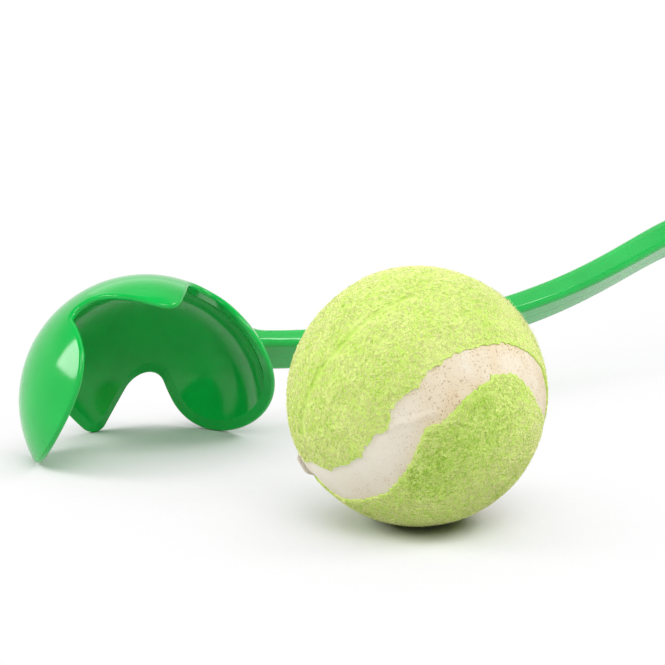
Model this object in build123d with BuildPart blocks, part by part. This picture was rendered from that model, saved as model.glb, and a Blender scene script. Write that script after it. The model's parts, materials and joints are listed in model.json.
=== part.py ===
"""Dog tennis ball launcher: a ball cup on a long curved arm with a grip, and its felt ball.

All sizes are in millimetres and all angles in degrees. The launcher is drawn in its own frame:
the cup's centre at the origin, +X towards the handle, +Y out of the cup's closed back, and XY
as its plane of symmetry. It is then laid on the floor on the three points that carry it, beside
the ball, and the whole is centred over the origin with the floor at Z = 0.
"""
import math
import os

from build123d import *

os.makedirs("parts", exist_ok=True)

# Ball
BALL_DIAMETER = 65.0
FELT_THICKNESS = 2.6
CORE_WALL = 3.6
BOND_THICKNESS = 0.6
SEAM_WIDTH = 9.5
SEAM_RECESS = 0.5
SEAM_FULLNESS = 0.84
SEAM_SWING = 0.714
SEAM_POINTS = 17

# Ball on the floor, measured from the point under the cup's centre
BALL_ALONG = 27.0
BALL_IN_FRONT = 93.3
BALL_TURN = (-161.9, -14.1, -2.5)

# Cup
SEAT_CLEARANCE = 0.1
CUP_WALL = 2.8
CUP_ROOT_BULGE = 1.8
RIM_ROUND = 1.0
RIM_FLAT = 0.1

# Corners of the cup's rim in side view and their radii, in outer radii of the cup
LIP_EDGE_END = (-0.837, -1.143)
LIP_BULGE = (-0.661, -0.343, 1.143)
FRONT_NOTCH = (-0.836, 0.450, 0.160)
SIDE_LOBE = (-0.103, 0.177, 0.143)
REAR_NOTCH = (0.150, 0.886, 0.172)
REAR_SLOPE = (0.662, 0.272, 1.130)
ROOT_EDGE_END = (1.646, -0.024)

# Arm
ROOT_ANGLE = 44.0
NECK_HEADING = 16.2
NECK_LENGTH = 11.4
BEND_RADIUS = 308.0
BEND_ANGLE = 25.4
SHAFT_LENGTH = 22.0
RETURN_RADIUS = 180.0
RETURN_ANGLE = 35.0
ARM_ROOT_WIDTH = 15.4
ARM_ROOT_DEPTH = 5.2
ARM_END_WIDTH = 13.6
ARM_END_DEPTH = 10.0
ARM_CORNER = 1.9
ROOT_FLARE = 3.0
FLARE_LENGTH = 9.0
FLARE_SECTIONS = 5
ARM_SECTIONS = 13

# Handle
HANDLE_LENGTH = 110.0
GRIP_WIDTH = 26.0
GRIP_DEPTH = 19.0
GRIP_CORNER = 7.0
FINGERS = 4
FINGER_PITCH = 19.0
FINGER_HOLLOW = 1.8
BUTT_ROUND = 5.0
BUTT_FLAT = 0.4
SHOULDER_SECTIONS = 5
BUTT_SECTIONS = 5
HANG_HOLE_RADIUS = 4.0
HANG_HOLE_FROM_END = 11.0
HOLE_MARGIN = 1.5

# Sizes that follow from those
BALL_RADIUS = BALL_DIAMETER / 2
CORE_RADIUS = BALL_RADIUS - FELT_THICKNESS
CUP_INNER_RADIUS = BALL_RADIUS + SEAT_CLEARANCE
CUP_RADIUS = CUP_INNER_RADIUS + CUP_WALL
RIM_BEVEL = CUP_WALL - RIM_ROUND - RIM_FLAT
SURFACE_TOLERANCE = 0.05


def rounded_section(plane, width, depth, corner, shift=0.0):
    """A rounded rectangle across the launcher, moved by shift away from the mouth's side."""
    with BuildSketch(plane) as section:
        with Locations((0, -shift)):
            RectangleRounded(width, depth, corner)
    return section.sketch


def across(path, length):
    """The plane square to a path at a length along it, with its X along the launcher's width."""
    position = path.position_at(length, position_mode=PositionMode.LENGTH)
    heading = path.tangent_at(length, position_mode=PositionMode.LENGTH)
    return Plane(origin=position, x_dir=(0, 0, 1), z_dir=heading)


def loft_between(path, start, end, count, shape):
    """A loft through evenly spaced sections, whose sizes shape gives at each length."""
    for index in range(count):
        length = start + (end - start) * index / (count - 1)
        add(rounded_section(across(path, length), *shape(length)))
    loft()


def cup_form(radius):
    """A round form whose half on the arm's side bulges out a little."""
    root_reach = radius + CUP_ROOT_BULGE
    with BuildPart() as form:
        with BuildSketch(Plane.XY):
            with BuildLine():
                CenterArc((0, 0), radius, 90, 90)
                EllipticalCenterArc((0, 0), root_reach, radius, 0, arc_size=90)
                Line((-radius, 0), (root_reach, 0))
            make_face()
        revolve(axis=Axis.X)
    return form.part


def rim_edges(shell, inner):
    """The edges along a shell's cut rim, on its inner or its outer side."""
    wall_middle = (CUP_INNER_RADIUS + CUP_ROOT_BULGE + CUP_RADIUS) / 2
    faces = shell.faces()
    cut_faces = faces.filter_by(GeomType.PLANE) + faces.filter_by(GeomType.CYLINDER)
    wall_faces = faces.filter_by(GeomType.SPHERE) + faces.filter_by(GeomType.REVOLUTION)
    cut_edges = cut_faces.edges()
    edges = wall_faces.edges().filter_by(lambda edge: edge in cut_edges)
    return edges.filter_by(lambda edge: ((edge @ 0.5).length < wall_middle) == inner)


# Cup: a round shell, cut from side to side along the rim's outline. The rim is rounded on the
# outside and bevelled on the inside, to let the ball in.
cup_outside = cup_form(CUP_RADIUS)
with BuildPart() as cup:
    add(cup_outside)
    add(cup_form(CUP_INNER_RADIUS), mode=Mode.SUBTRACT)
    rim_corners = (LIP_BULGE, FRONT_NOTCH, SIDE_LOBE, REAR_NOTCH, REAR_SLOPE)
    rim_points = [(x * CUP_RADIUS, y * CUP_RADIUS) for x, y, *_ in
                  (LIP_EDGE_END, *rim_corners, ROOT_EDGE_END)]
    rim_radii = [corner[2] * CUP_RADIUS for corner in rim_corners]
    below_cup = -2 * CUP_RADIUS
    with BuildSketch(Plane.XY):
        with BuildLine():
            FilletPolyline(*rim_points, radius=rim_radii)
            Polyline(rim_points[-1], (rim_points[-1][0], below_cup),
                     (rim_points[0][0], below_cup), rim_points[0])
        make_face()
    extrude(amount=2 * CUP_RADIUS, both=True, mode=Mode.SUBTRACT)
    fillet(rim_edges(cup, inner=False), RIM_ROUND)
    chamfer(rim_edges(cup, inner=True), RIM_BEVEL)
cup.part.label = "cup"

# Centre line of the arm: a straight neck out of the cup's back, a long sweep up, a straight
# shaft and a sweep back to the handle's heading
root_point = Vector(CUP_RADIUS, 0).rotate(Axis.Z, ROOT_ANGLE)
neck_heading = Vector(1, 0).rotate(Axis.Z, NECK_HEADING)
root_depth = 2 * CUP_WALL
with BuildLine() as arm_line:
    neck = Line(root_point - root_depth * neck_heading, root_point + NECK_LENGTH * neck_heading)
    sweep_up = JernArc(neck @ 1, neck % 1, BEND_RADIUS, BEND_ANGLE)
    shaft = Line(sweep_up @ 1, sweep_up @ 1 + SHAFT_LENGTH * (sweep_up % 1))
    sweep_back = JernArc(shaft @ 1, shaft % 1, RETURN_RADIUS, -RETURN_ANGLE)
arm_path = arm_line.wire()
arm_length = arm_path.length
flare_end = root_depth + FLARE_LENGTH


def arm_shape(length):
    """The arm's width, depth and corner radius at a length along its centre line."""
    share = length / arm_length
    flare = ROOT_FLARE * (max(0.0, flare_end - length) / FLARE_LENGTH) ** 2
    width = ARM_ROOT_WIDTH + share * (ARM_END_WIDTH - ARM_ROOT_WIDTH) + flare
    depth = ARM_ROOT_DEPTH + share * (ARM_END_DEPTH - ARM_ROOT_DEPTH) + flare
    return width, depth, ARM_CORNER


# Arm: rounded sections that widen into the cup's back and deepen towards the handle
with BuildPart() as throwing_arm:
    loft_between(arm_path, 0, flare_end, FLARE_SECTIONS, arm_shape)
    loft_between(arm_path, flare_end, arm_length, ARM_SECTIONS, arm_shape)
    add(cup_outside, mode=Mode.SUBTRACT)
throwing_arm.part.label = "throwing_arm"

# Centre line of the handle, straight on from the arm's end
handle_start = across(arm_path, arm_length)
with BuildLine() as handle_line:
    Line(handle_start.origin, handle_start.origin + HANDLE_LENGTH * handle_start.z_dir)
handle_path = handle_line.wire()
butt_start = HANDLE_LENGTH - BUTT_ROUND
fingers_end = HANDLE_LENGTH - HANG_HOLE_FROM_END - HANG_HOLE_RADIUS - HOLE_MARGIN
fingers_start = fingers_end - FINGERS * FINGER_PITCH


def shoulder_shape(length):
    """The arm's end section easing out to the grip's own section."""
    share = length / fingers_start
    ease = share * share * (3 - 2 * share)
    start_shape = (ARM_END_WIDTH, ARM_END_DEPTH, ARM_CORNER)
    grip_shape = (GRIP_WIDTH, GRIP_DEPTH, GRIP_CORNER)
    return [start + ease * (end - start) for start, end in zip(start_shape, grip_shape)]


def finger_shape(length):
    """The grip's section, hollowed on the mouth's side under each finger."""
    turn = 2 * math.pi * (length - fingers_start) / FINGER_PITCH
    hollow = FINGER_HOLLOW * (1 - math.cos(turn)) / 2
    return GRIP_WIDTH, GRIP_DEPTH - hollow, GRIP_CORNER, hollow / 2


def butt_shape(length):
    """The grip's section drawn in round the end."""
    past = max(0.0, length - butt_start)
    inset = BUTT_ROUND - math.sqrt(BUTT_ROUND ** 2 - past ** 2)
    return GRIP_WIDTH - 2 * inset, GRIP_DEPTH - 2 * inset, GRIP_CORNER - inset


# Handle: a rounded grip with a hollow for each finger on the mouth's side, a round butt and a
# hole to hang it by
with BuildPart() as handle:
    loft_between(handle_path, 0, fingers_start, SHOULDER_SECTIONS, shoulder_shape)
    loft_between(handle_path, fingers_start, fingers_end, 4 * FINGERS + 1, finger_shape)
    loft_between(handle_path, fingers_end, butt_start, 2, butt_shape)
    loft_between(handle_path, butt_start, HANDLE_LENGTH - BUTT_FLAT, BUTT_SECTIONS, butt_shape)
    hole_centre = handle_path.position_at(HANDLE_LENGTH - HANG_HOLE_FROM_END,
                                          position_mode=PositionMode.LENGTH)
    with Locations(Plane(origin=hole_centre)):
        Hole(HANG_HOLE_RADIUS)
handle.part.label = "handle"


def seam_edge(side):
    """Points of the seam's line, or of an edge beside it, seen along the ball's own X axis.

    The seam's wave is the same on the ball's front and back halves, so one outline in side view
    describes all of it. side is the distance from the line, positive towards the outer panel.
    """
    def on_ball(turn):
        x = SEAM_FULLNESS * math.cos(turn) - (1 - SEAM_FULLNESS) * math.cos(3 * turn)
        y = SEAM_FULLNESS * math.sin(turn) + (1 - SEAM_FULLNESS) * math.sin(3 * turn)
        return Vector(x, y, SEAM_SWING * math.cos(2 * turn)).normalized()

    small_turn = 1e-4
    points = []
    for index in range(SEAM_POINTS):
        turn = math.pi * (index / (SEAM_POINTS - 1) - 0.5)
        middle = on_ball(turn)
        along = (on_ball(turn + small_turn) - on_ball(turn - small_turn)).normalized()
        angle = side / BALL_RADIUS
        point = middle * math.cos(angle) + middle.cross(along) * math.sin(angle)
        points.append((point.Y * BALL_RADIUS, point.Z * BALL_RADIUS))
    return points


def panel_prism(side):
    """The space of the inner felt panel out to a distance from the seam's line, right through."""
    points = seam_edge(side)
    with BuildPart() as prism:
        with BuildSketch(Plane.YZ):
            with BuildLine():
                edge = Spline(*points)
                first = edge @ 0 - BALL_RADIUS * (edge % 0)
                last = edge @ 1 + BALL_RADIUS * (edge % 1)
                Polyline(edge @ 1, last, first, edge @ 0)
            make_face()
        extrude(amount=2 * BALL_RADIUS, both=True)
    return prism.part


inner_space = panel_prism(-SEAM_WIDTH / 2)
outer_space = panel_prism(SEAM_WIDTH / 2)

# Felt panels: two dog-bone pieces round the rubber core, with the seam between them
with BuildPart() as felt_panel_inner:
    Sphere(BALL_RADIUS)
    Sphere(CORE_RADIUS, mode=Mode.SUBTRACT)
    add(inner_space, mode=Mode.INTERSECT)
felt_panel_inner.part.label = "felt_panel_inner"

with BuildPart() as felt_panel_outer:
    Sphere(BALL_RADIUS)
    Sphere(CORE_RADIUS, mode=Mode.SUBTRACT)
    add(outer_space, mode=Mode.SUBTRACT)
felt_panel_outer.part.label = "felt_panel_outer"

with BuildPart() as felt_seam:
    Sphere(BALL_RADIUS - SEAM_RECESS)
    Sphere(CORE_RADIUS, mode=Mode.SUBTRACT)
    add(outer_space, mode=Mode.INTERSECT)
    add(inner_space, mode=Mode.SUBTRACT)
felt_seam.part.label = "felt_seam"

# Core: two moulded rubber half shells, cemented together round their edges
with BuildPart() as core_half_upper:
    Sphere(CORE_RADIUS)
    Sphere(CORE_RADIUS - CORE_WALL, mode=Mode.SUBTRACT)
    split(bisect_by=Plane.XY.offset(BOND_THICKNESS / 2), keep=Keep.TOP)
core_half_upper.part.label = "core_half_upper"

with BuildPart() as core_half_lower:
    add(core_half_upper.part)
    mirror(about=Plane.XY, mode=Mode.REPLACE)
core_half_lower.part.label = "core_half_lower"

with BuildPart() as core_bond:
    Sphere(CORE_RADIUS)
    Sphere(CORE_RADIUS - CORE_WALL, mode=Mode.SUBTRACT)
    split(bisect_by=Plane.XY.offset(BOND_THICKNESS / 2), keep=Keep.BOTTOM)
    split(bisect_by=Plane.XY.offset(-BOND_THICKNESS / 2), keep=Keep.TOP)
core_bond.part.label = "core_bond"

launcher_pieces = (cup, throwing_arm, handle)
ball_pieces = (core_half_upper, core_half_lower, core_bond,
               felt_panel_inner, felt_panel_outer, felt_seam)


def surface_points(piece):
    """Points spread over the surface of a piece."""
    points, _ = piece.part.tessellate(SURFACE_TOLERANCE)
    return points


# The launcher lies on the far side's lobe of the cup, on the rim beside the arm's root and on
# the handle: the floor is the plane under the lowest point of each
cup_far_side = [point for point in surface_points(cup) if point.Z < 0]
front_notch_x = (FRONT_NOTCH[0] + SIDE_LOBE[0]) / 2 * CUP_RADIUS
rear_notch_x = REAR_NOTCH[0] * CUP_RADIUS
supports = (
    [point for point in cup_far_side if front_notch_x < point.X < rear_notch_x],
    [point for point in cup_far_side if point.X > rear_notch_x],
    surface_points(handle),
)
up = Vector(-0.3, 0.65, 0.7)
for step in range(6):
    lobe, root_rim, grip = [min(points, key=up.dot) for points in supports]
    up = (root_rim - lobe).cross(grip - lobe).normalized()
floor = Plane(origin=up * lobe.dot(up), x_dir=up.cross(Vector(0, 0, 1)), z_dir=up)
for piece in launcher_pieces:
    piece.part.move(floor.location.inverse())
cup_centre = floor.to_local_coords(Vector(0, 0, 0))

# The ball lies on the same floor, in front of the arm
ball_place = Location((cup_centre.X + BALL_ALONG, cup_centre.Y - BALL_IN_FRONT, BALL_RADIUS), BALL_TURN)
for piece in ball_pieces:
    piece.part.move(ball_place)

# The origin is on the floor, under the middle of the whole outline
outline = [point for piece in launcher_pieces + ball_pieces for point in surface_points(piece)]
across_x = [point.X for point in outline]
across_y = [point.Y for point in outline]
to_origin = Location((-(min(across_x) + max(across_x)) / 2, -(min(across_y) + max(across_y)) / 2, 0))
for piece in launcher_pieces + ball_pieces:
    piece.part.move(to_origin)

export_step(cup.part, "parts/cup.step")
export_step(throwing_arm.part, "parts/throwing_arm.step")
export_step(handle.part, "parts/handle.step")
export_step(core_half_upper.part, "parts/core_half_upper.step")
export_step(core_half_lower.part, "parts/core_half_lower.step")
export_step(core_bond.part, "parts/core_bond.step")
export_step(felt_panel_inner.part, "parts/felt_panel_inner.step")
export_step(felt_panel_outer.part, "parts/felt_panel_outer.step")
export_step(felt_seam.part, "parts/felt_seam.step")
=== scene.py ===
"""Looks of the dog tennis ball launcher: glossy green plastic and a fuzzy felt ball.

Sizes are in metres, and the camera's sensor and lens in millimetres. Angles are in degrees, and turns round
the seam and swirls of the fibres in radians.
"""
import json
import math

import bmesh
import bpy
import numpy as np
from mathutils import Euler, Matrix, Vector
from mathutils.bvhtree import BVHTree


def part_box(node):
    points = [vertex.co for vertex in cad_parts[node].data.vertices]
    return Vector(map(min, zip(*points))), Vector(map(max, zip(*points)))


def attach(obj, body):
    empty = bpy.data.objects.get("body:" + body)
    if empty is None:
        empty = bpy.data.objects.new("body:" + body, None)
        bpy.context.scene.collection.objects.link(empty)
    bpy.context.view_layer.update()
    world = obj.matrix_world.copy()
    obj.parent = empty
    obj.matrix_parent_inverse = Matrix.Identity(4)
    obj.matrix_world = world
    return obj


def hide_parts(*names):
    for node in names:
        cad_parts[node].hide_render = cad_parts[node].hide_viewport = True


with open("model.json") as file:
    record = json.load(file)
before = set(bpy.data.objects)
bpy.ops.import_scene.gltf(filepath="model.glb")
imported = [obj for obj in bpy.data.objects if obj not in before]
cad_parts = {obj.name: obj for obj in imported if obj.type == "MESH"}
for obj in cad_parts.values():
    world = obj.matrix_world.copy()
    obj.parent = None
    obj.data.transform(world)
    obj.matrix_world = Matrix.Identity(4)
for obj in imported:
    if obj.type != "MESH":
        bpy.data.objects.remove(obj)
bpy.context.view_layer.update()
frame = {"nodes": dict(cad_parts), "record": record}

MM = 0.001

# Camera, measured from the centre of the cup
CAMERA_FROM_CUP = (-0.28306, -0.53043, 0.14954)
CAMERA_AZIMUTH = -33.082
CAMERA_ELEVATION = 12.278
CAMERA_ROLL = -0.264
SENSOR_WIDTH = 36.0
LENS = 119.1
CLIP_START = 0.01
PICTURE_SIDE = 665

# Launcher: its mouth's heading and its centre line, in its own frame, as in the part's source
MOUTH_HEADING = (0.40, -0.915)
CUP_RADIUS = 35.4 * MM
ROOT_ANGLE = 44.0
NECK_HEADING = 16.2
NECK_LENGTH = 11.4 * MM
BEND_RADIUS = 308.0 * MM
BEND_ANGLE = 25.4
SHAFT_LENGTH = 22.0 * MM
RETURN_RADIUS = 180.0 * MM
RETURN_ANGLE = 35.0
HANDLE_LENGTH = 110.0 * MM

# Parting line: the fine ridge that the two halves of the mould leave on the launcher
RIDGE_WIDTH = 0.8 * MM
RIDGE_HEIGHT = 0.035 * MM
RIDGE_SINK = 0.05 * MM
RIDGE_STEP = 1.5 * MM
RIDGE_ON_CUP = (52.0, 218.0)
RIDGE_ROOT_MARGIN = 9.0 * MM
RIDGE_BUTT_MARGIN = 13.5 * MM
CUP_RAY_START = 60.0 * MM
ARM_RAY_START = 30.0 * MM

# Ball
BALL_TURN = (-161.9, -14.1, -2.5)
CORE_RADIUS = 29.9 * MM
BALL_RADIUS = 32.5 * MM
SEAM_FULLNESS = 0.84
SEAM_SWING = 0.714
SEAM_HALF_WIDTH = 4.75 * MM
SEAM_RECESS = 0.35 * MM
SEAM_SAMPLES = 1200
BALL_FINENESS = 7
SHARP_EDGE_ANGLE = 50.0
SEARCH_BLOCK = 2000

# Edges of the felt: scallops along the seam, less deep on the edge that the picture shows
SCALLOP_PITCH = 2.4 * MM
SCALLOP_JITTER = 0.35
SCALLOP_DEPTHS = (0.45 * MM, 1.3 * MM)
SCALLOPS_ON_SEEN_EDGE = 0.75
EDGE_FADE_TURN = 0.30
INNER_EDGE_SEED = 3
OUTER_EDGE_SEED = 4

# Edges of the seam, and the creases in felt and seam, in pixels of the picture
SEAM_EDGE_ABOVE = (
    (303, 458), (311, 460), (318, 465), (331, 471), (334, 467), (347, 464), (355, 459), (361, 457),
    (362, 452), (365, 446), (372, 441), (372, 436), (376, 433), (383, 433), (387, 428), (391, 421),
    (389, 416), (390, 411), (395, 406), (400, 399), (406, 393), (417, 388), (420, 382), (422, 378),
    (432, 368), (440, 365), (444, 359), (469, 350), (500, 343), (524, 349), (542, 368),
)
SEAM_EDGE_BELOW = (
    (314, 479), (335, 495), (356, 501), (373, 498), (389, 491), (400, 478), (408, 468), (415, 454),
    (420, 442), (426, 429), (430, 426), (440, 424), (450, 415), (454, 410), (463, 402), (471, 393),
    (488, 383), (492, 376), (513, 374), (528, 387), (538, 406), (544, 420),
)
FELT_CREASE = ((302, 431), (306, 405), (314, 382), (333, 355), (355, 331), (377, 313), (412, 296))
FELT_CREASE_DEPTH = 0.7 * MM
FELT_CREASE_WIDTH = 0.8 * MM
FELT_CREASE_BARE = 0.55 * MM
# How much deeper green the fibres along the crease are painted: painted shade in the crease
FELT_CREASE_PAINTED_SHADE = 2.4
# A band of deeper green fibres at the ball's lower right, along the seam's lower edge
FELT_DEEPER_BAND = ((424, 478), (440, 447), (468, 448), (486, 420))
FELT_DEEPER_BAND_WIDTH = 8.0 * MM
FELT_DEEPER_BAND_DEEPENING = 1.3
SEAM_RIDGE = ((392, 426), (414, 421), (438, 413))
SEAM_RIDGE_HEIGHT = 0.28 * MM
SEAM_RIDGE_WIDTH = 0.9 * MM

# Swelling of the felt at the ball's left, and the proud lip and the groove of the seam below it
FELT_BULGE = ((289, 405), (291, 425))
FELT_BULGE_HEIGHT = 0.5 * MM
FELT_BULGE_WIDTH = 15.0 * MM
SEAM_LIP = ((297, 460), (300, 466), (305, 473))
SEAM_LIP_HEIGHT = 1.65 * MM
SEAM_LIP_WIDTH = 1.4 * MM
# The groove's line also carries a painted shade: a darker colour on the seam rubber in the groove
SEAM_GROOVE = ((298, 452), (303, 462), (308, 470), (314, 478))
SEAM_GROOVE_DEPTH = 0.3 * MM
SEAM_GROOVE_WIDTH = 0.45 * MM
SEAM_LIP_TURN = 3.40
SEAM_LIP_SPREAD = 0.12
SEAM_LIP_REACH = 4.0 * MM

# Fuzz that stands off the felt at the ball's right
FELT_FUZZ = ((508, 301), (530, 322), (546, 343))
FELT_FUZZ_WIDTH = 6.0 * MM
FELT_FUZZ_RISE = 5.0

# Slow lumps of the felt and of the seam
WAVE_COUNT = 28
WAVE_PITCHES = (0.6, 1.4)
LUMP_SIZE = 5.0 * MM
LUMP_HEIGHT = 0.04 * MM
LUMP_SEED = 11
SEAM_LUMP_HEIGHT = 0.02 * MM
SEAM_LUMP_SEED = 12

# Fibres that lie on the felt. A layer has a name, seeds of its places and of its shapes, a share of the
# highest lift, and how much paler it is painted: the low layer deeper green as painted shade in the gaps
# between fibres, the high layer paler as painted light on top
FIBRE_LAYERS = (
    ("low", 41, 51, 0.5, -0.4),
    ("high", 42, 52, 1.0, 0.6),
)
FIBRES_PER_LAYER = 44000
FIBRES_PER_PIECE = 19900
FIBRE_LENGTHS = (0.8 * MM, 1.8 * MM)
FIBRE_RADII = (0.06 * MM, 0.10 * MM)
FIBRE_LIFTS = (0.02 * MM, 0.19 * MM)
FIBRE_SINK = 0.10 * MM
FIBRE_CORNERS = (90, 210, 330)
FIBRE_TAPER = 0.85
FIBRE_SWIRL_SIZE = 4.0 * MM
FIBRE_SWIRL = 1.6
FIBRE_SWIRL_SEED = 21
FIBRE_DISORDER = 1.5
FIBRE_POLE = (0.31, 0.42, 0.85)
FIBRE_OVERHANG = 0.08 * MM
FLOOR_CLEARANCE = 0.15 * MM

# Shades of the fibres: waves of paleness with their strength, size and seed, a spread from fibre to fibre,
# and the limits between pale, light, middle and deep
SHADE_WAVES = ((0.12, 4.0 * MM, 31), (0.3, 12.0 * MM, 32))
SHADE_SPREAD = 0.7
SHADE_LIMITS = (-0.55, 0.25, 1.0)

# Colours, linear
PLASTIC_GREEN = (0.005, 0.49, 0.072)
PLASTIC_DEEP_GREEN = (0.004, 0.43, 0.060)
FELT_COLOURS = {
    "pale": (0.96, 0.97, 0.51),
    "light": (0.91, 0.95, 0.43),
    "middle": (0.80, 0.90, 0.29),
    "deep": (0.49, 0.76, 0.095),
}
SEAM_WHITE = (0.88, 0.83, 0.72)
SEAM_DIRT = (0.76, 0.63, 0.43)
SEAM_SPECK = (0.40, 0.20, 0.07)
# Painted shade in the seam's groove below the lip
SEAM_GROOVE_PAINTED_SHADE = (0.42, 0.36, 0.28)
CORE_RUBBER = (0.035, 0.030, 0.026)
CORE_CHALK = 1.8

# Finishes: ranges that most values of a noise lie in, sizes of noise, bumps, gloss and roughness
NOISE_BODY = (0.35, 0.65)
NOISE_SPAN = (0.3, 0.7)
PLASTIC_GLOSS = 0.34
PLASTIC_ROUGHNESS = (0.10, 0.15)
PLASTIC_CLOUD_SIZE = 18.0 * MM
PLASTIC_POLISH_SIZE = 7.0 * MM
PLASTIC_GRAIN_SIZE = 0.7 * MM
PLASTIC_GRAIN_BUMP = (0.01, 0.05 * MM)
FELT_GLOSS = 0.03
FELT_ROUGHNESS = (0.85, 1.0)
FELT_PATCH_SIZE = 6.0 * MM
FELT_PATCH_LIGHTNESS = (0.1, 0.5)
FELT_THREAD_SIZE = 0.45 * MM
FELT_THREAD_LIGHTNESS = (0.0, 0.4)
FELT_THREAD_BUMP = (0.7, 0.3 * MM)
FIBRE_ROUGHNESS = 0.8
SEAM_GLOSS = 0.3
SEAM_ROUGHNESS = (0.5, 0.65)
SEAM_STAIN_SIZE = 9.0 * MM
SEAM_STAIN_RANGE = (0.35, 0.60)
SEAM_STAIN_LEVELS = (0.4, 1.0)
SEAM_SPOT_SIZE = 0.5 * MM
SEAM_SPOT_RANGE = (0.58, 0.68)
SEAM_SPOT_LEVELS = (0.0, 0.9)
SEAM_DIRTIER_FROM = -28.0 * MM
SEAM_DIRTIER_TO = -14.0 * MM
SEAM_SIDE_LEVELS = (0.1, 1.0)
SEAM_GRAIN_SIZE = 0.6 * MM
SEAM_GRAIN_BUMP = (0.25, 0.12 * MM)
CORE_ROUGHNESS = (0.6, 0.8)
CORE_CHALK_SIZE = 2.0 * MM
CORE_CHALK_RANGE = (0.35, 0.7)
CORE_CHALK_BUMP = (0.2, 0.1 * MM)

# Studio: the floor, the surroundings, and softboxes: name, place from between cup and ball, size and watts
FLOOR_REACH = 4.0
FLOOR_PALE = (0.72, 0.72, 0.72)
SHADOW_REACH = 0.08
SHADOW_RANGE = (0.3, 0.9)
WORLD_LIGHT = 0.15
HORIZON_BAND = (0.35, 0.65)
SOFTBOXES = (
    ("softbox_left", (-0.75, 0.40, 0.55), (0.445, 0.445), 7.1),
    ("softbox_right", (0.59, -0.48, 0.70), (0.39, 0.35), 4.8),
    ("softbox_side", (0.62, -0.02, 0.84), (0.75, 0.5), 1.5),
    ("softbox_back", (0.50, 0.80, 0.75), (1.0, 0.8), 1.5),
    ("softbox_front", (-0.22, -0.66, 0.80), (0.6, 0.6), 5.6),
)


def record_mount(name):
    """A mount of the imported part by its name."""
    return next(mount for mount in frame["record"]["mounts"] if mount["name"] == name)


def launcher_frame():
    """The launcher's own frame: the cup's centre, X to the handle and Y out of the closed back."""
    seat = record_mount("ball_seat")
    mouth = Vector(seat["axis"])
    side = Vector(record_mount("hang_hole")["axis"])
    turned = side.cross(mouth)
    heading = Vector(MOUTH_HEADING).normalized()
    along = heading.x * mouth - heading.y * turned
    back = heading.y * mouth + heading.x * turned
    return Vector(seat["pos_m"]), along, back, side


def node_box(*names):
    """The lowest and highest corners of several nodes together."""
    boxes = [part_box(name) for name in names]
    low = Vector([min(box[0][axis] for box in boxes) for axis in range(3)])
    high = Vector([max(box[1][axis] for box in boxes) for axis in range(3)])
    return low, high


cup_centre, launcher_x, launcher_y, launcher_z = launcher_frame()
core_low, core_high = node_box("core_half_upper", "core_half_lower", "core_bond")
ball_centre = (core_low + core_high) / 2
ball_turn = Euler([math.radians(angle) for angle in BALL_TURN], "ZYX").to_matrix()


def make_camera():
    """The camera at the picture's viewing angle."""
    data = bpy.data.cameras.new("camera")
    data.sensor_width = SENSOR_WIDTH
    data.lens = LENS
    data.clip_start = CLIP_START
    camera = bpy.data.objects.new("camera", data)
    bpy.context.scene.collection.objects.link(camera)
    azimuth = math.radians(CAMERA_AZIMUTH)
    elevation = math.radians(CAMERA_ELEVATION)
    back = Vector((
        math.sin(azimuth) * math.cos(elevation),
        -math.cos(azimuth) * math.cos(elevation),
        math.sin(elevation),
    ))
    turn = (-back).to_track_quat("-Z", "Y").to_matrix()
    roll = Matrix.Rotation(math.radians(CAMERA_ROLL), 3, "Z")
    camera.matrix_world = Matrix.Translation(cup_centre + Vector(CAMERA_FROM_CUP)) @ (turn @ roll).to_4x4()
    bpy.context.scene.camera = camera
    return camera


camera = make_camera()


def make_mesh_object(name, vertices, faces, body):
    """A smooth mesh piece that rides on a body."""
    mesh = bpy.data.meshes.new(name)
    mesh.from_pydata(vertices, [], faces)
    mesh.polygons.foreach_set("use_smooth", [True] * len(mesh.polygons))
    piece = bpy.data.objects.new(name, mesh)
    bpy.context.scene.collection.objects.link(piece)
    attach(piece, body)
    return piece


class Nodes:
    """A tree of shader nodes, and short ways to add nodes to it."""

    def __init__(self, tree):
        self.tree = tree

    def set(self, node, settings):
        """Sets a node's inputs: a socket is linked, and anything else is its value."""
        for name, value in settings.items():
            socket = node.inputs[name.replace("_", " ") if isinstance(name, str) else name]
            if isinstance(value, bpy.types.NodeSocket):
                self.tree.links.new(value, socket)
            else:
                socket.default_value = value

    def node(self, kind, **settings):
        """A new node with its inputs set."""
        node = self.tree.nodes.new(kind)
        self.set(node, settings)
        return node

    def remap(self, value, low, high, to_low=0.0, to_high=1.0):
        """A value mapped from one range to another, and held inside it."""
        node = self.node("ShaderNodeMapRange", Value=value, From_Min=low, From_Max=high,
                         To_Min=to_low, To_Max=to_high)
        return node.outputs["Result"]

    def combine(self, operation, first, second):
        """Two values combined by an operation."""
        node = self.node("ShaderNodeMath")
        node.operation = operation
        self.set(node, {0: first, 1: second})
        return node.outputs[0]

    def multiply(self, first, second):
        """Two values multiplied."""
        return self.combine("MULTIPLY", first, second)

    def seen_directly(self):
        """A value that is 1 for what the camera sees straight, mirrored or through glass, and 0 else."""
        rays = self.node("ShaderNodeLightPath").outputs
        straight_or_mirrored = self.combine("MAXIMUM", rays["Is Camera Ray"], rays["Is Glossy Ray"])
        return self.combine("MAXIMUM", straight_or_mirrored, rays["Is Transmission Ray"])


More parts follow.
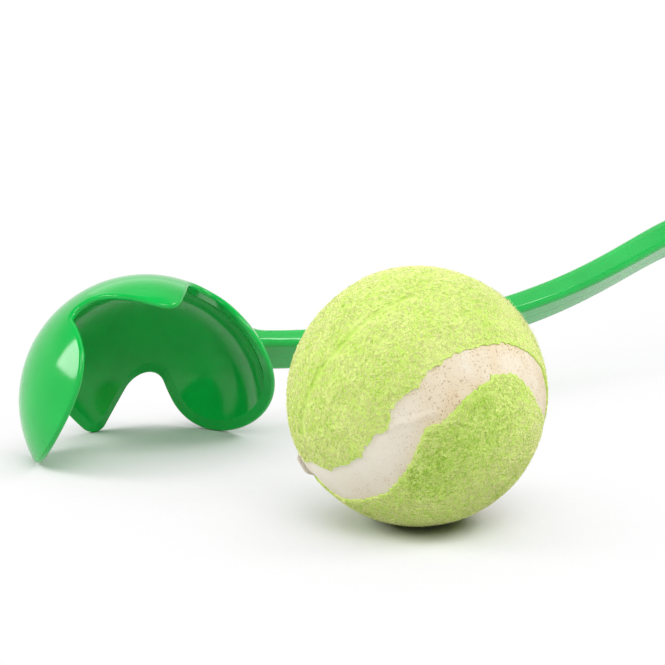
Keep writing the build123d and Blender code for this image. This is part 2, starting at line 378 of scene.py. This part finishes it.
class Shader(Nodes):
    """A material with a principled shader, and short ways to give it a finish."""

    def __init__(self, name, **settings):
        self.material = bpy.data.materials.new(name)
        self.material.use_nodes = True
        super().__init__(self.material.node_tree)
        self.principled = self.tree.nodes["Principled BSDF"]
        self.place = self.node("ShaderNodeTexCoord").outputs["Object"]
        self.set(self.principled, settings)

    def noise(self, size, detail):
        """Noise whose lumps are about size across."""
        node = self.node("ShaderNodeTexNoise", Vector=self.place, Scale=1 / size, Detail=detail)
        return node.outputs["Fac"]

    def ramp(self, value, positions, colours):
        """A colour that runs from one to the next, at these positions of a value."""
        node = self.node("ShaderNodeValToRGB", Fac=value)
        for element, position, colour in zip(node.color_ramp.elements, positions, colours):
            element.position = position
            element.color = (*colour, 1)
        return node.outputs["Color"]

    def roughness(self, value, levels):
        """A roughness that follows a noise from one level to another."""
        return self.remap(value, *NOISE_SPAN, *levels)

    def mix(self, factor, first, second):
        """Two colours mixed by a factor."""
        node = self.node("ShaderNodeMixRGB", Fac=factor)
        for name, colour in (("Color1", first), ("Color2", second)):
            self.set(node, {name: (*colour, 1) if isinstance(colour, tuple) else colour})
        return node.outputs["Color"]

    def bump(self, height, strength, distance):
        """A bump from a height on the principled shader's normal."""
        node = self.node("ShaderNodeBump", Height=height, Strength=strength, Distance=distance)
        self.set(self.principled, {"Normal": node.outputs["Normal"]})

    def paint(self, **settings):
        """Sets inputs of the principled shader and gives the material."""
        self.set(self.principled, settings)
        return self.material


def make_plastic():
    """Glossy moulded plastic: a little cloudy in colour, with a fine mould texture."""
    shader = Shader("moulded_plastic", Specular_IOR_Level=PLASTIC_GLOSS)
    cloud = shader.noise(PLASTIC_CLOUD_SIZE, detail=4.0)
    polish = shader.noise(PLASTIC_POLISH_SIZE, detail=5.0)
    grain = shader.noise(PLASTIC_GRAIN_SIZE, detail=2.0)
    shader.bump(grain, *PLASTIC_GRAIN_BUMP)
    return shader.paint(
        Base_Color=shader.ramp(cloud, NOISE_BODY, (PLASTIC_DEEP_GREEN, PLASTIC_GREEN)),
        Roughness=shader.roughness(polish, PLASTIC_ROUGHNESS),
    )


def make_felt():
    """The cloth under the fibres: mottled, matt and rough."""
    shader = Shader("felt_cloth", Specular_IOR_Level=FELT_GLOSS)
    patches = shader.remap(shader.noise(FELT_PATCH_SIZE, detail=3.0), *NOISE_BODY, *FELT_PATCH_LIGHTNESS)
    threads = shader.noise(FELT_THREAD_SIZE, detail=4.0)
    mottled = shader.mix(patches, FELT_COLOURS["deep"], FELT_COLOURS["light"])
    lightness = shader.remap(threads, *NOISE_BODY, *FELT_THREAD_LIGHTNESS)
    shader.bump(threads, *FELT_THREAD_BUMP)
    return shader.paint(
        Base_Color=shader.mix(lightness, mottled, FELT_COLOURS["middle"]),
        Roughness=shader.roughness(threads, FELT_ROUGHNESS),
    )


def make_fibre_colours():
    """One material for each shade of the felt's fibres, pale to deep."""
    finish = {"Roughness": FIBRE_ROUGHNESS, "Specular_IOR_Level": FELT_GLOSS}
    return [
        Shader("felt_fibre_" + shade, Base_Color=(*colour, 1), **finish).material
        for shade, colour in FELT_COLOURS.items()
    ]


def make_seam_rubber():
    """Off-white rubber with brown specks, dirtier where it has rolled on the ground."""
    shader = Shader("seam_rubber", Specular_IOR_Level=SEAM_GLOSS)
    stain = shader.noise(SEAM_STAIN_SIZE, detail=4.0)
    grain = shader.noise(SEAM_GRAIN_SIZE, detail=3.0)
    spots = shader.noise(SEAM_SPOT_SIZE, detail=2.0)
    # Painted shade: a darker colour in the groove below the lip, from a value stored on the mesh
    painted_groove_shade = shader.node("ShaderNodeAttribute")
    painted_groove_shade.attribute_name = "painted_groove_shade"
    across = shader.node("ShaderNodeSeparateXYZ", Vector=shader.place).outputs["X"]
    dirtier = (ball_centre.x + SEAM_DIRTIER_FROM, ball_centre.x + SEAM_DIRTIER_TO)
    side = shader.remap(across, *dirtier, *SEAM_SIDE_LEVELS)
    dirt = shader.multiply(shader.remap(stain, *SEAM_STAIN_RANGE, *SEAM_STAIN_LEVELS), side)
    speck = shader.multiply(shader.remap(spots, *SEAM_SPOT_RANGE, *SEAM_SPOT_LEVELS), dirt)
    specked = shader.mix(speck, shader.mix(dirt, SEAM_WHITE, SEAM_DIRT), SEAM_SPECK)
    shader.bump(grain, *SEAM_GRAIN_BUMP)
    return shader.paint(
        Base_Color=shader.mix(painted_groove_shade.outputs["Fac"], specked, SEAM_GROOVE_PAINTED_SHADE),
        Roughness=shader.roughness(stain, SEAM_ROUGHNESS),
    )


def make_core_rubber():
    """Dark rubber of the ball's core, a little chalky."""
    shader = Shader("core_rubber")
    chalk = shader.noise(CORE_CHALK_SIZE, detail=4.0)
    lighter = tuple(CORE_CHALK * level for level in CORE_RUBBER)
    shader.bump(chalk, *CORE_CHALK_BUMP)
    return shader.paint(
        Base_Color=shader.ramp(chalk, CORE_CHALK_RANGE, (CORE_RUBBER, lighter)),
        Roughness=shader.roughness(chalk, CORE_ROUGHNESS),
    )


def use_material(piece, *materials):
    """Gives a piece these materials, in place of those it has."""
    piece.data.materials.clear()
    for material in materials:
        piece.data.materials.append(material)


plastic = make_plastic()
core_rubber = make_core_rubber()
for name in ("cup", "throwing_arm", "handle"):
    use_material(frame["nodes"][name], plastic)
for name in ("core_half_upper", "core_half_lower", "core_bond"):
    use_material(frame["nodes"][name], core_rubber)


def launcher_surface(name):
    """A search tree of a launcher node's surface."""
    mesh = frame["nodes"][name].data
    return BVHTree.FromPolygons([v.co for v in mesh.vertices], [p.vertices[:] for p in mesh.polygons])


def heading_at(angle):
    """The direction at an angle in the launcher's plane of symmetry."""
    return math.cos(math.radians(angle)) * launcher_x + math.sin(math.radians(angle)) * launcher_y


def centre_line(step):
    """Points and headings along the arm and the handle, with the name of the node round each."""
    point = cup_centre + CUP_RADIUS * heading_at(ROOT_ANGLE)
    angle = NECK_HEADING
    runs = (
        ("throwing_arm", NECK_LENGTH, 0.0),
        ("throwing_arm", BEND_RADIUS * math.radians(BEND_ANGLE), BEND_ANGLE),
        ("throwing_arm", SHAFT_LENGTH, 0.0),
        ("throwing_arm", RETURN_RADIUS * math.radians(RETURN_ANGLE), -RETURN_ANGLE),
        ("handle", HANDLE_LENGTH, 0.0),
    )
    stations = []
    for name, length, turn in runs:
        count = max(1, round(length / step))
        for _ in range(count):
            angle += turn / count / 2
            point = point + heading_at(angle) * (length / count)
            angle += turn / count / 2
            stations.append((name, point, angle))
    return stations


def ridge_strip(name, hits):
    """A fine closed ridge along surface points with their outward directions."""
    vertices = []
    for point, outward in hits:
        low = point - RIDGE_SINK * outward
        half_width = RIDGE_WIDTH / 2 * launcher_z
        vertices += [low - half_width, point + RIDGE_HEIGHT * outward, low + half_width]
    last = len(vertices) - 3
    faces = [(0, 1, 2), (last + 2, last + 1, last)]
    for start in range(0, last, 3):
        for side in range(3):
            after = (side + 1) % 3
            faces.append((start + side, start + 3 + side, start + 3 + after, start + after))
    ridge = make_mesh_object(name, vertices, faces, "launcher")
    tidy = bmesh.new()
    tidy.from_mesh(ridge.data)
    bmesh.ops.recalc_face_normals(tidy, faces=tidy.faces)
    tidy.to_mesh(ridge.data)
    tidy.free()
    use_material(ridge, plastic)


def make_ridges():
    """The parting line round the cup's outside and along both faces of the arm and the handle."""
    surfaces = {name: launcher_surface(name) for name in ("cup", "throwing_arm", "handle")}
    first, last = RIDGE_ON_CUP
    count = round(math.radians(last - first) * CUP_RADIUS / RIDGE_STEP)
    on_cup = []
    for index in range(count + 1):
        outward = heading_at(first + (last - first) * index / count)
        point, normal, *_ = surfaces["cup"].ray_cast(cup_centre + CUP_RAY_START * outward, -outward)
        if point:
            on_cup.append((point, normal))
    ridge_strip("parting_line_cup", on_cup)

    stations = centre_line(RIDGE_STEP)
    after_root = round(RIDGE_ROOT_MARGIN / RIDGE_STEP)
    before_butt = round(RIDGE_BUTT_MARGIN / RIDGE_STEP)
    for side, turn in (("mouth", -90), ("back", 90)):
        on_arm = []
        for name, centre, angle in stations[after_root:-before_butt]:
            outward = heading_at(angle + turn)
            point, *_ = surfaces[name].ray_cast(centre + ARM_RAY_START * outward, -outward)
            if point:
                on_arm.append((point, outward))
        ridge_strip("parting_line_" + side, on_arm)


make_ridges()


def unit_rows(rows):
    """Vectors in rows, each made one long."""
    return rows / np.linalg.norm(rows, axis=1, keepdims=True)


def seam_line(turns):
    """Unit points of the seam's middle line, in the ball's own frame, at turns round the ball."""
    x = SEAM_FULLNESS * np.cos(turns) - (1 - SEAM_FULLNESS) * np.cos(3 * turns)
    y = SEAM_FULLNESS * np.sin(turns) + (1 - SEAM_FULLNESS) * np.sin(3 * turns)
    return unit_rows(np.stack([x, y, SEAM_SWING * np.cos(2 * turns)], axis=1))


seam_turns = np.arange(SEAM_SAMPLES) * 2 * math.pi / SEAM_SAMPLES
seam_points = seam_line(seam_turns)
seam_headings = unit_rows(np.roll(seam_points, -1, axis=0) - np.roll(seam_points, 1, axis=0))
seam_sides = np.cross(seam_points, seam_headings)
seam_steps = BALL_RADIUS * np.linalg.norm(np.roll(seam_points, -1, axis=0) - seam_points, axis=1)
seam_length = seam_steps.sum()


def seam_place(points):
    """The nearest sample of the seam and the distance from it, positive on the outer panel's side."""
    blocks = np.array_split(points, max(1, len(points) // SEARCH_BLOCK))
    nearest = np.concatenate([np.argmax(block @ seam_points.T, axis=1) for block in blocks])
    cosine = np.clip((points * seam_points[nearest]).sum(1), -1, 1)
    side = np.sign((points * seam_sides[nearest]).sum(1))
    return nearest, side * np.arccos(cosine) * BALL_RADIUS


def pixel_on_ball(pixel):
    """The unit point, in the ball's own frame, at a pixel of the picture.

    A pixel just outside the ball's outline is a point as far behind that outline.
    """
    across = (pixel[0] / PICTURE_SIDE - 0.5) * SENSOR_WIDTH / LENS
    up = (0.5 - pixel[1] / PICTURE_SIDE) * SENSOR_WIDTH / LENS
    ray = (camera.matrix_world.to_3x3() @ Vector((across, up, -1))).normalized()
    start = camera.matrix_world.translation - ball_centre
    nearest = start - start.dot(ray) * ray
    if nearest.length < BALL_RADIUS:
        depth = -math.sqrt(BALL_RADIUS ** 2 - nearest.length_squared)
    else:
        depth = nearest.length - BALL_RADIUS
    return np.array(ball_turn.transposed() @ (nearest + depth * ray).normalized())


def scallops(seed):
    """Round bites along the whole seam, about even with its edge, one value for each of its samples."""
    rng = np.random.default_rng(seed)
    count = round(seam_length / SCALLOP_PITCH)
    starts = (np.arange(count + 1) + rng.uniform(-SCALLOP_JITTER, SCALLOP_JITTER, count + 1)) / count
    starts[0], starts[-1] = 0.0, 1.0
    depths = rng.uniform(*SCALLOP_DEPTHS, count)
    place = (np.cumsum(seam_steps) - seam_steps) / seam_length
    bite = np.clip(np.searchsorted(starts, place, side="right") - 1, 0, count - 1)
    share = (place - starts[bite]) / (starts[bite + 1] - starts[bite])
    depth = depths[bite] * np.sqrt(np.clip(1 - (2 * share - 1) ** 2, 0, 1))
    return depth - depth.mean()


def felt_edge(pixels, seed):
    """The felt's edge as a distance from the seam's line for each of its samples."""
    nearest, distance = seam_place(np.array([pixel_on_ball(pixel) for pixel in pixels]))
    turns = np.unwrap(seam_turns[nearest])
    order = np.argsort(turns)
    turns = turns[order]
    side = np.sign(distance.mean())
    middle = (turns[0] + turns[-1]) / 2
    around = middle + (seam_turns - middle + math.pi) % (2 * math.pi) - math.pi
    seen = np.interp(around, turns, distance[order])
    outside = np.maximum(turns[0] - around, around - turns[-1])
    fade = np.clip(outside / EDGE_FADE_TURN, 0, 1)
    scalloped = scallops(seed) * (SCALLOPS_ON_SEEN_EDGE * (1 - fade) + fade)
    return seen * (1 - fade) + side * (SEAM_HALF_WIDTH * fade + scalloped)


inner_edge = felt_edge(SEAM_EDGE_ABOVE, INNER_EDGE_SEED)
outer_edge = felt_edge(SEAM_EDGE_BELOW, OUTER_EDGE_SEED)
outer_edge += SEAM_LIP_REACH * np.exp(-((seam_turns - SEAM_LIP_TURN) / SEAM_LIP_SPREAD) ** 2)


def past_edges(points):
    """How far points are past the inner and the outer panel's edge, each towards the outer panel."""
    nearest, distance = seam_place(points)
    return distance - inner_edge[nearest], distance - outer_edge[nearest]


def waves(points, size, seed):
    """Smooth random lumps about size across, one value near -1 to 1 for each point of the ball."""
    rng = np.random.default_rng(seed)
    headings = unit_rows(rng.normal(size=(WAVE_COUNT, 3)))
    pitches = math.pi * BALL_RADIUS / size * rng.uniform(*WAVE_PITCHES, WAVE_COUNT)
    phases = rng.uniform(0, 2 * math.pi, WAVE_COUNT)
    return np.sin(points @ (headings * pitches[:, None]).T + phases).sum(1) / math.sqrt(WAVE_COUNT)


def from_line(points, pixels):
    """The distance of points on the ball from a line through pixels of the picture."""
    corners = [pixel_on_ball(pixel) for pixel in pixels]
    nearest = np.full(len(points), BALL_RADIUS)
    for start, end in zip(corners, corners[1:]):
        run = end - start
        share = np.clip((points - start) @ run / (run @ run), 0, 1)
        gap = np.linalg.norm(points - start - share[:, None] * run, axis=1) * BALL_RADIUS
        nearest = np.minimum(nearest, gap)
    return nearest


def rise(points, pixels, height, width):
    """A rounded rise of the ball's surface along a line through pixels of the picture."""
    return height * np.exp(-(from_line(points, pixels) / width) ** 2)


def felt_radius(points):
    """The felt's outer radius: slow lumps, a swelling, and a groove along the crease."""
    lumps = LUMP_HEIGHT * waves(points, LUMP_SIZE, LUMP_SEED)
    bulge = rise(points, FELT_BULGE, FELT_BULGE_HEIGHT, FELT_BULGE_WIDTH)
    return BALL_RADIUS + lumps + bulge - rise(points, FELT_CREASE, FELT_CREASE_DEPTH, FELT_CREASE_WIDTH)


def seam_radius(points):
    """The seam's outer radius: a little below the felt, with a low ridge, a lip and a groove."""
    lumps = SEAM_LUMP_HEIGHT * waves(points, LUMP_SIZE, SEAM_LUMP_SEED)
    bulge = rise(points, FELT_BULGE, FELT_BULGE_HEIGHT, FELT_BULGE_WIDTH)
    ridge = rise(points, SEAM_RIDGE, SEAM_RIDGE_HEIGHT, SEAM_RIDGE_WIDTH)
    lip = rise(points, SEAM_LIP, SEAM_LIP_HEIGHT, SEAM_LIP_WIDTH)
    groove = rise(points, SEAM_GROOVE, SEAM_GROOVE_DEPTH, SEAM_GROOVE_WIDTH)
    return BALL_RADIUS - SEAM_RECESS + lumps + bulge + ridge + lip - groove


def ball_sphere():
    """Unit points and triangles of an even sphere."""
    sphere = bmesh.new()
    bmesh.ops.create_icosphere(sphere, subdivisions=BALL_FINENESS, radius=1.0)
    points = np.array([vertex.co for vertex in sphere.verts])
    faces = np.array([[vertex.index for vertex in face.verts] for face in sphere.faces])
    sphere.free()
    return unit_rows(points), faces


def cut_away(points, faces, column):
    """The part of a triangle mesh where one of its points' columns is below zero."""
    inside = points[:, column] < 0
    points = list(points)
    count = inside[faces].sum(1)
    kept = faces[count == 3].tolist()
    cuts = {}

    def cut(a, b):
        key = (min(a, b), max(a, b))
        if key not in cuts:
            share = points[a][column] / (points[a][column] - points[b][column])
            cuts[key] = len(points)
            points.append(points[a] + share * (points[b] - points[a]))
        return cuts[key]

    for face in faces[(count == 1) | (count == 2)]:
        odd_one = inside[face].sum() == 1
        a, b, c = np.roll(face, -int(np.argmax(inside[face] == odd_one)))
        if odd_one:
            kept.append([a, cut(a, b), cut(a, c)])
        else:
            kept.append([cut(a, b), b, c])
            kept.append([cut(a, b), c, cut(a, c)])
    used, numbers = np.unique(np.array(kept), return_inverse=True)
    return np.array(points)[used], numbers.reshape(-1, 3)


def ball_shell(name, points, faces, radii):
    """A closed shell on the ball's core, out to a radius at each point and walled at its edges."""
    count = len(points)
    turned = points @ np.array(ball_turn).T
    centre = np.array(ball_centre)
    vertices = np.concatenate([centre + turned * radii[:, None], centre + turned * CORE_RADIUS])
    edges = np.concatenate([faces[:, [0, 1]], faces[:, [1, 2]], faces[:, [2, 0]]])
    ahead = edges[:, 0] * count + edges[:, 1]
    behind = edges[:, 1] * count + edges[:, 0]
    a, b = edges[~np.isin(ahead, behind)].T
    walls = np.stack([b, a, a + count, b + count], axis=1)
    all_faces = faces.tolist() + (faces[:, ::-1] + count).tolist() + walls.tolist()
    piece = make_mesh_object(name, vertices.tolist(), all_faces, "ball")
    piece.data.set_sharp_from_angle(angle=math.radians(SHARP_EDGE_ANGLE))
    return piece


def make_ball_shells():
    """The two felt panels and the seam between them, in place of their solids."""
    points, faces = ball_sphere()
    past_inner, past_outer = past_edges(points)
    sphere = np.column_stack([points, past_inner, -past_outer, -past_inner, past_outer])
    on_inner, on_outer, off_inner, off_outer = range(3, 7)
    inner_part = cut_away(sphere, faces, on_inner)
    outer_part = cut_away(sphere, faces, on_outer)
    seam_part = cut_away(*cut_away(sphere, faces, off_inner), off_outer)
    felt = make_felt()
    for node, name, part, radius, slot, material in (
        ("felt_panel_inner", "felt_cloth_inner", inner_part, felt_radius, "ball_felt", felt),
        ("felt_panel_outer", "felt_cloth_outer", outer_part, felt_radius, "ball_felt", felt),
        ("felt_seam", "seam_rubber", seam_part, seam_radius, "ball_seam", make_seam_rubber()),
    ):
        unit = unit_rows(part[0][:, :3])
        piece = ball_shell(name, unit, part[1], radius(unit))
        # Painted shade of the seam's groove: 1 on the groove's line, fading to 0 beside it
        painted_groove_shade = piece.data.attributes.new("painted_groove_shade", "FLOAT", "POINT")
        painted_groove_shade.data.foreach_set("value", np.tile(rise(unit, SEAM_GROOVE, 1.0, SEAM_GROOVE_WIDTH), 2))
        use_material(piece, material)
        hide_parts(node)


make_ball_shells()


def lay_fibres(seed):
    """Roots, middles and tips of fibres in swirls all over the ball, and which panel each is on."""
    rng = np.random.default_rng(seed)
    roots = unit_rows(rng.normal(size=(FIBRES_PER_LAYER, 3)))
    lengths = rng.uniform(*FIBRE_LENGTHS, FIBRES_PER_LAYER)
    swirl = FIBRE_SWIRL * waves(roots, FIBRE_SWIRL_SIZE, FIBRE_SWIRL_SEED)
    angles = swirl + rng.normal(0, FIBRE_DISORDER, FIBRES_PER_LAYER)
    east = unit_rows(np.cross(roots, FIBRE_POLE))
    north = np.cross(roots, east)
    headings = np.cos(angles)[:, None] * east + np.sin(angles)[:, None] * north
    reaches = headings * (lengths / BALL_RADIUS)[:, None]
    middles = unit_rows(roots + 0.5 * reaches)
    tips = unit_rows(roots + reaches)
    root_past_inner, root_past_outer = past_edges(roots)
    tip_past_inner, tip_past_outer = past_edges(tips)
    beside_crease = from_line(middles, FELT_CREASE) > FELT_CREASE_BARE
    on_inner = (root_past_inner < 0) & (tip_past_inner < FIBRE_OVERHANG) & beside_crease
    on_outer = (root_past_outer > 0) & (tip_past_outer > -FIBRE_OVERHANG)
    return (roots, middles, tips, headings), {"inner": on_inner, "outer": on_outer}


def make_fibres(name, lines, seed, lifts, painted_light_offset):
    """A piece of tapered fibres along lines over the felt, in four shades."""
    rng = np.random.default_rng(seed)
    roots, middles, tips, headings = lines
    count = len(roots)
    radii = felt_radius(roots)
    middle_radii = radii + rng.uniform(*lifts, count)
    fuzz = 1 + rise(roots, FELT_FUZZ, FELT_FUZZ_RISE, FELT_FUZZ_WIDTH)
    tip_radii = radii + rng.uniform(*lifts, count) * fuzz
    thick = rng.uniform(*FIBRE_RADII, count)
    widths = np.cross(roots, headings)
    rows = []
    for place, radius, share in ((roots, radii - FIBRE_SINK, 1.0), (middles, middle_radii, FIBRE_TAPER)):
        for corner in FIBRE_CORNERS:
            offset = math.cos(math.radians(corner)) * widths + math.sin(math.radians(corner)) * place
            rows.append(place * radius[:, None] + offset * (thick * share)[:, None])
    rows.append(tips * tip_radii[:, None])
    points = np.stack(rows, axis=1).reshape(-1, 3)
    points = np.array(ball_centre) + points @ np.array(ball_turn).T
    points[:, 2] = np.maximum(points[:, 2], FLOOR_CLEARANCE)
    pattern = np.array([
        (0, 2, 1), (0, 1, 4), (0, 4, 3), (1, 2, 5), (1, 5, 4), (2, 0, 3), (2, 3, 5),
        (3, 4, 6), (4, 5, 6), (5, 3, 6),
    ])
    faces = (pattern[None] + len(rows) * np.arange(count)[:, None, None]).reshape(-1, 3)
    piece = make_mesh_object(name, points.tolist(), faces.tolist(), "ball")
    use_material(piece, *fibre_colours)
    # The layer's painted light and shade: the low layer deeper green, the high layer paler
    paleness = np.full(count, painted_light_offset)
    for strength, size, wave_seed in SHADE_WAVES:
        paleness += strength * waves(roots, size, wave_seed)
    paleness += rng.normal(0, SHADE_SPREAD, count)
    for pixels, width, deepening in (
        # Painted shade: fibres along the crease are painted deeper green
        (FELT_CREASE, FELT_CREASE_WIDTH, FELT_CREASE_PAINTED_SHADE),
        # Fibres along the band at the lower right are deeper green
        (FELT_DEEPER_BAND, FELT_DEEPER_BAND_WIDTH, FELT_DEEPER_BAND_DEEPENING),
    ):
        paleness -= deepening * np.exp(-(from_line(roots, pixels) / width) ** 2)
    shades = np.digitize(-paleness, SHADE_LIMITS)
    piece.data.polygons.foreach_set("material_index", np.repeat(shades, len(pattern)).astype(np.int32))


fibre_colours = make_fibre_colours()
for layer, place_seed, shape_seed, highest, painted_light_offset in FIBRE_LAYERS:
    lines, on_panel = lay_fibres(place_seed)
    lifts = (FIBRE_LIFTS[0], highest * FIBRE_LIFTS[1])
    for panel, kept in on_panel.items():
        chosen = np.flatnonzero(kept)[:FIBRES_PER_PIECE]
        panel_lines = [rows[chosen] for rows in lines]
        make_fibres("felt_nap_" + panel + "_" + layer, panel_lines, shape_seed, lifts, painted_light_offset)


def make_floor():
    """A wide pale floor that is seen as white, with a faint shadow round the object."""
    reach = FLOOR_REACH
    corners = [(-reach, -reach, 0), (reach, -reach, 0), (reach, reach, 0), (-reach, reach, 0)]
    floor = bpy.data.objects.new("floor", bpy.data.meshes.new("floor"))
    floor.data.from_pydata(corners, [], [(0, 1, 2, 3)])
    bpy.context.scene.collection.objects.link(floor)
    material = bpy.data.materials.new("floor")
    material.use_nodes = True
    nodes = Nodes(material.node_tree)
    nodes.tree.nodes.clear()
    openness = nodes.node("ShaderNodeAmbientOcclusion", Distance=SHADOW_REACH).outputs["AO"]
    share = nodes.multiply(nodes.seen_directly(), nodes.remap(openness, *SHADOW_RANGE))
    pale = nodes.node("ShaderNodeBsdfDiffuse", Color=(*FLOOR_PALE, 1))
    white = nodes.node("ShaderNodeEmission")
    both = nodes.node("ShaderNodeMixShader", Fac=share)
    nodes.set(both, {1: pale.outputs[0], 2: white.outputs[0]})
    nodes.node("ShaderNodeOutputMaterial", Surface=both.outputs[0])
    floor.data.materials.append(material)


def make_world():
    """A studio that is seen as white round the horizon, and lights the object softly."""
    world = bpy.data.worlds.new("studio")
    world.use_nodes = True
    nodes = Nodes(world.node_tree)
    place = nodes.node("ShaderNodeTexCoord").outputs["Generated"]
    height = nodes.node("ShaderNodeSeparateXYZ", Vector=place).outputs["Z"]
    horizon = nodes.remap(height, *HORIZON_BAND, 1.0, 0.0)
    level = nodes.remap(nodes.multiply(horizon, nodes.seen_directly()), 0.0, 1.0, WORLD_LIGHT, 1.0)
    nodes.set(nodes.tree.nodes["Background"], {"Color": (1, 1, 1, 1), "Strength": level})
    bpy.context.scene.world = world


def make_lamp(name, place, aim, size, power):
    """A softbox that looks at a point."""
    data = bpy.data.lights.new(name, "AREA")
    data.shape = "RECTANGLE"
    data.size, data.size_y = size
    data.energy = power
    lamp = bpy.data.objects.new(name, data)
    bpy.context.scene.collection.objects.link(lamp)
    lamp.location = place
    lamp.rotation_euler = (aim - place).to_track_quat("-Z", "Y").to_euler()


make_floor()
make_world()
middle = (cup_centre + ball_centre) / 2
for name, place, size, power in SOFTBOXES:
    make_lamp(name, middle + Vector(place), middle, size, power)

bpy.context.scene.view_settings.view_transform = "Standard"
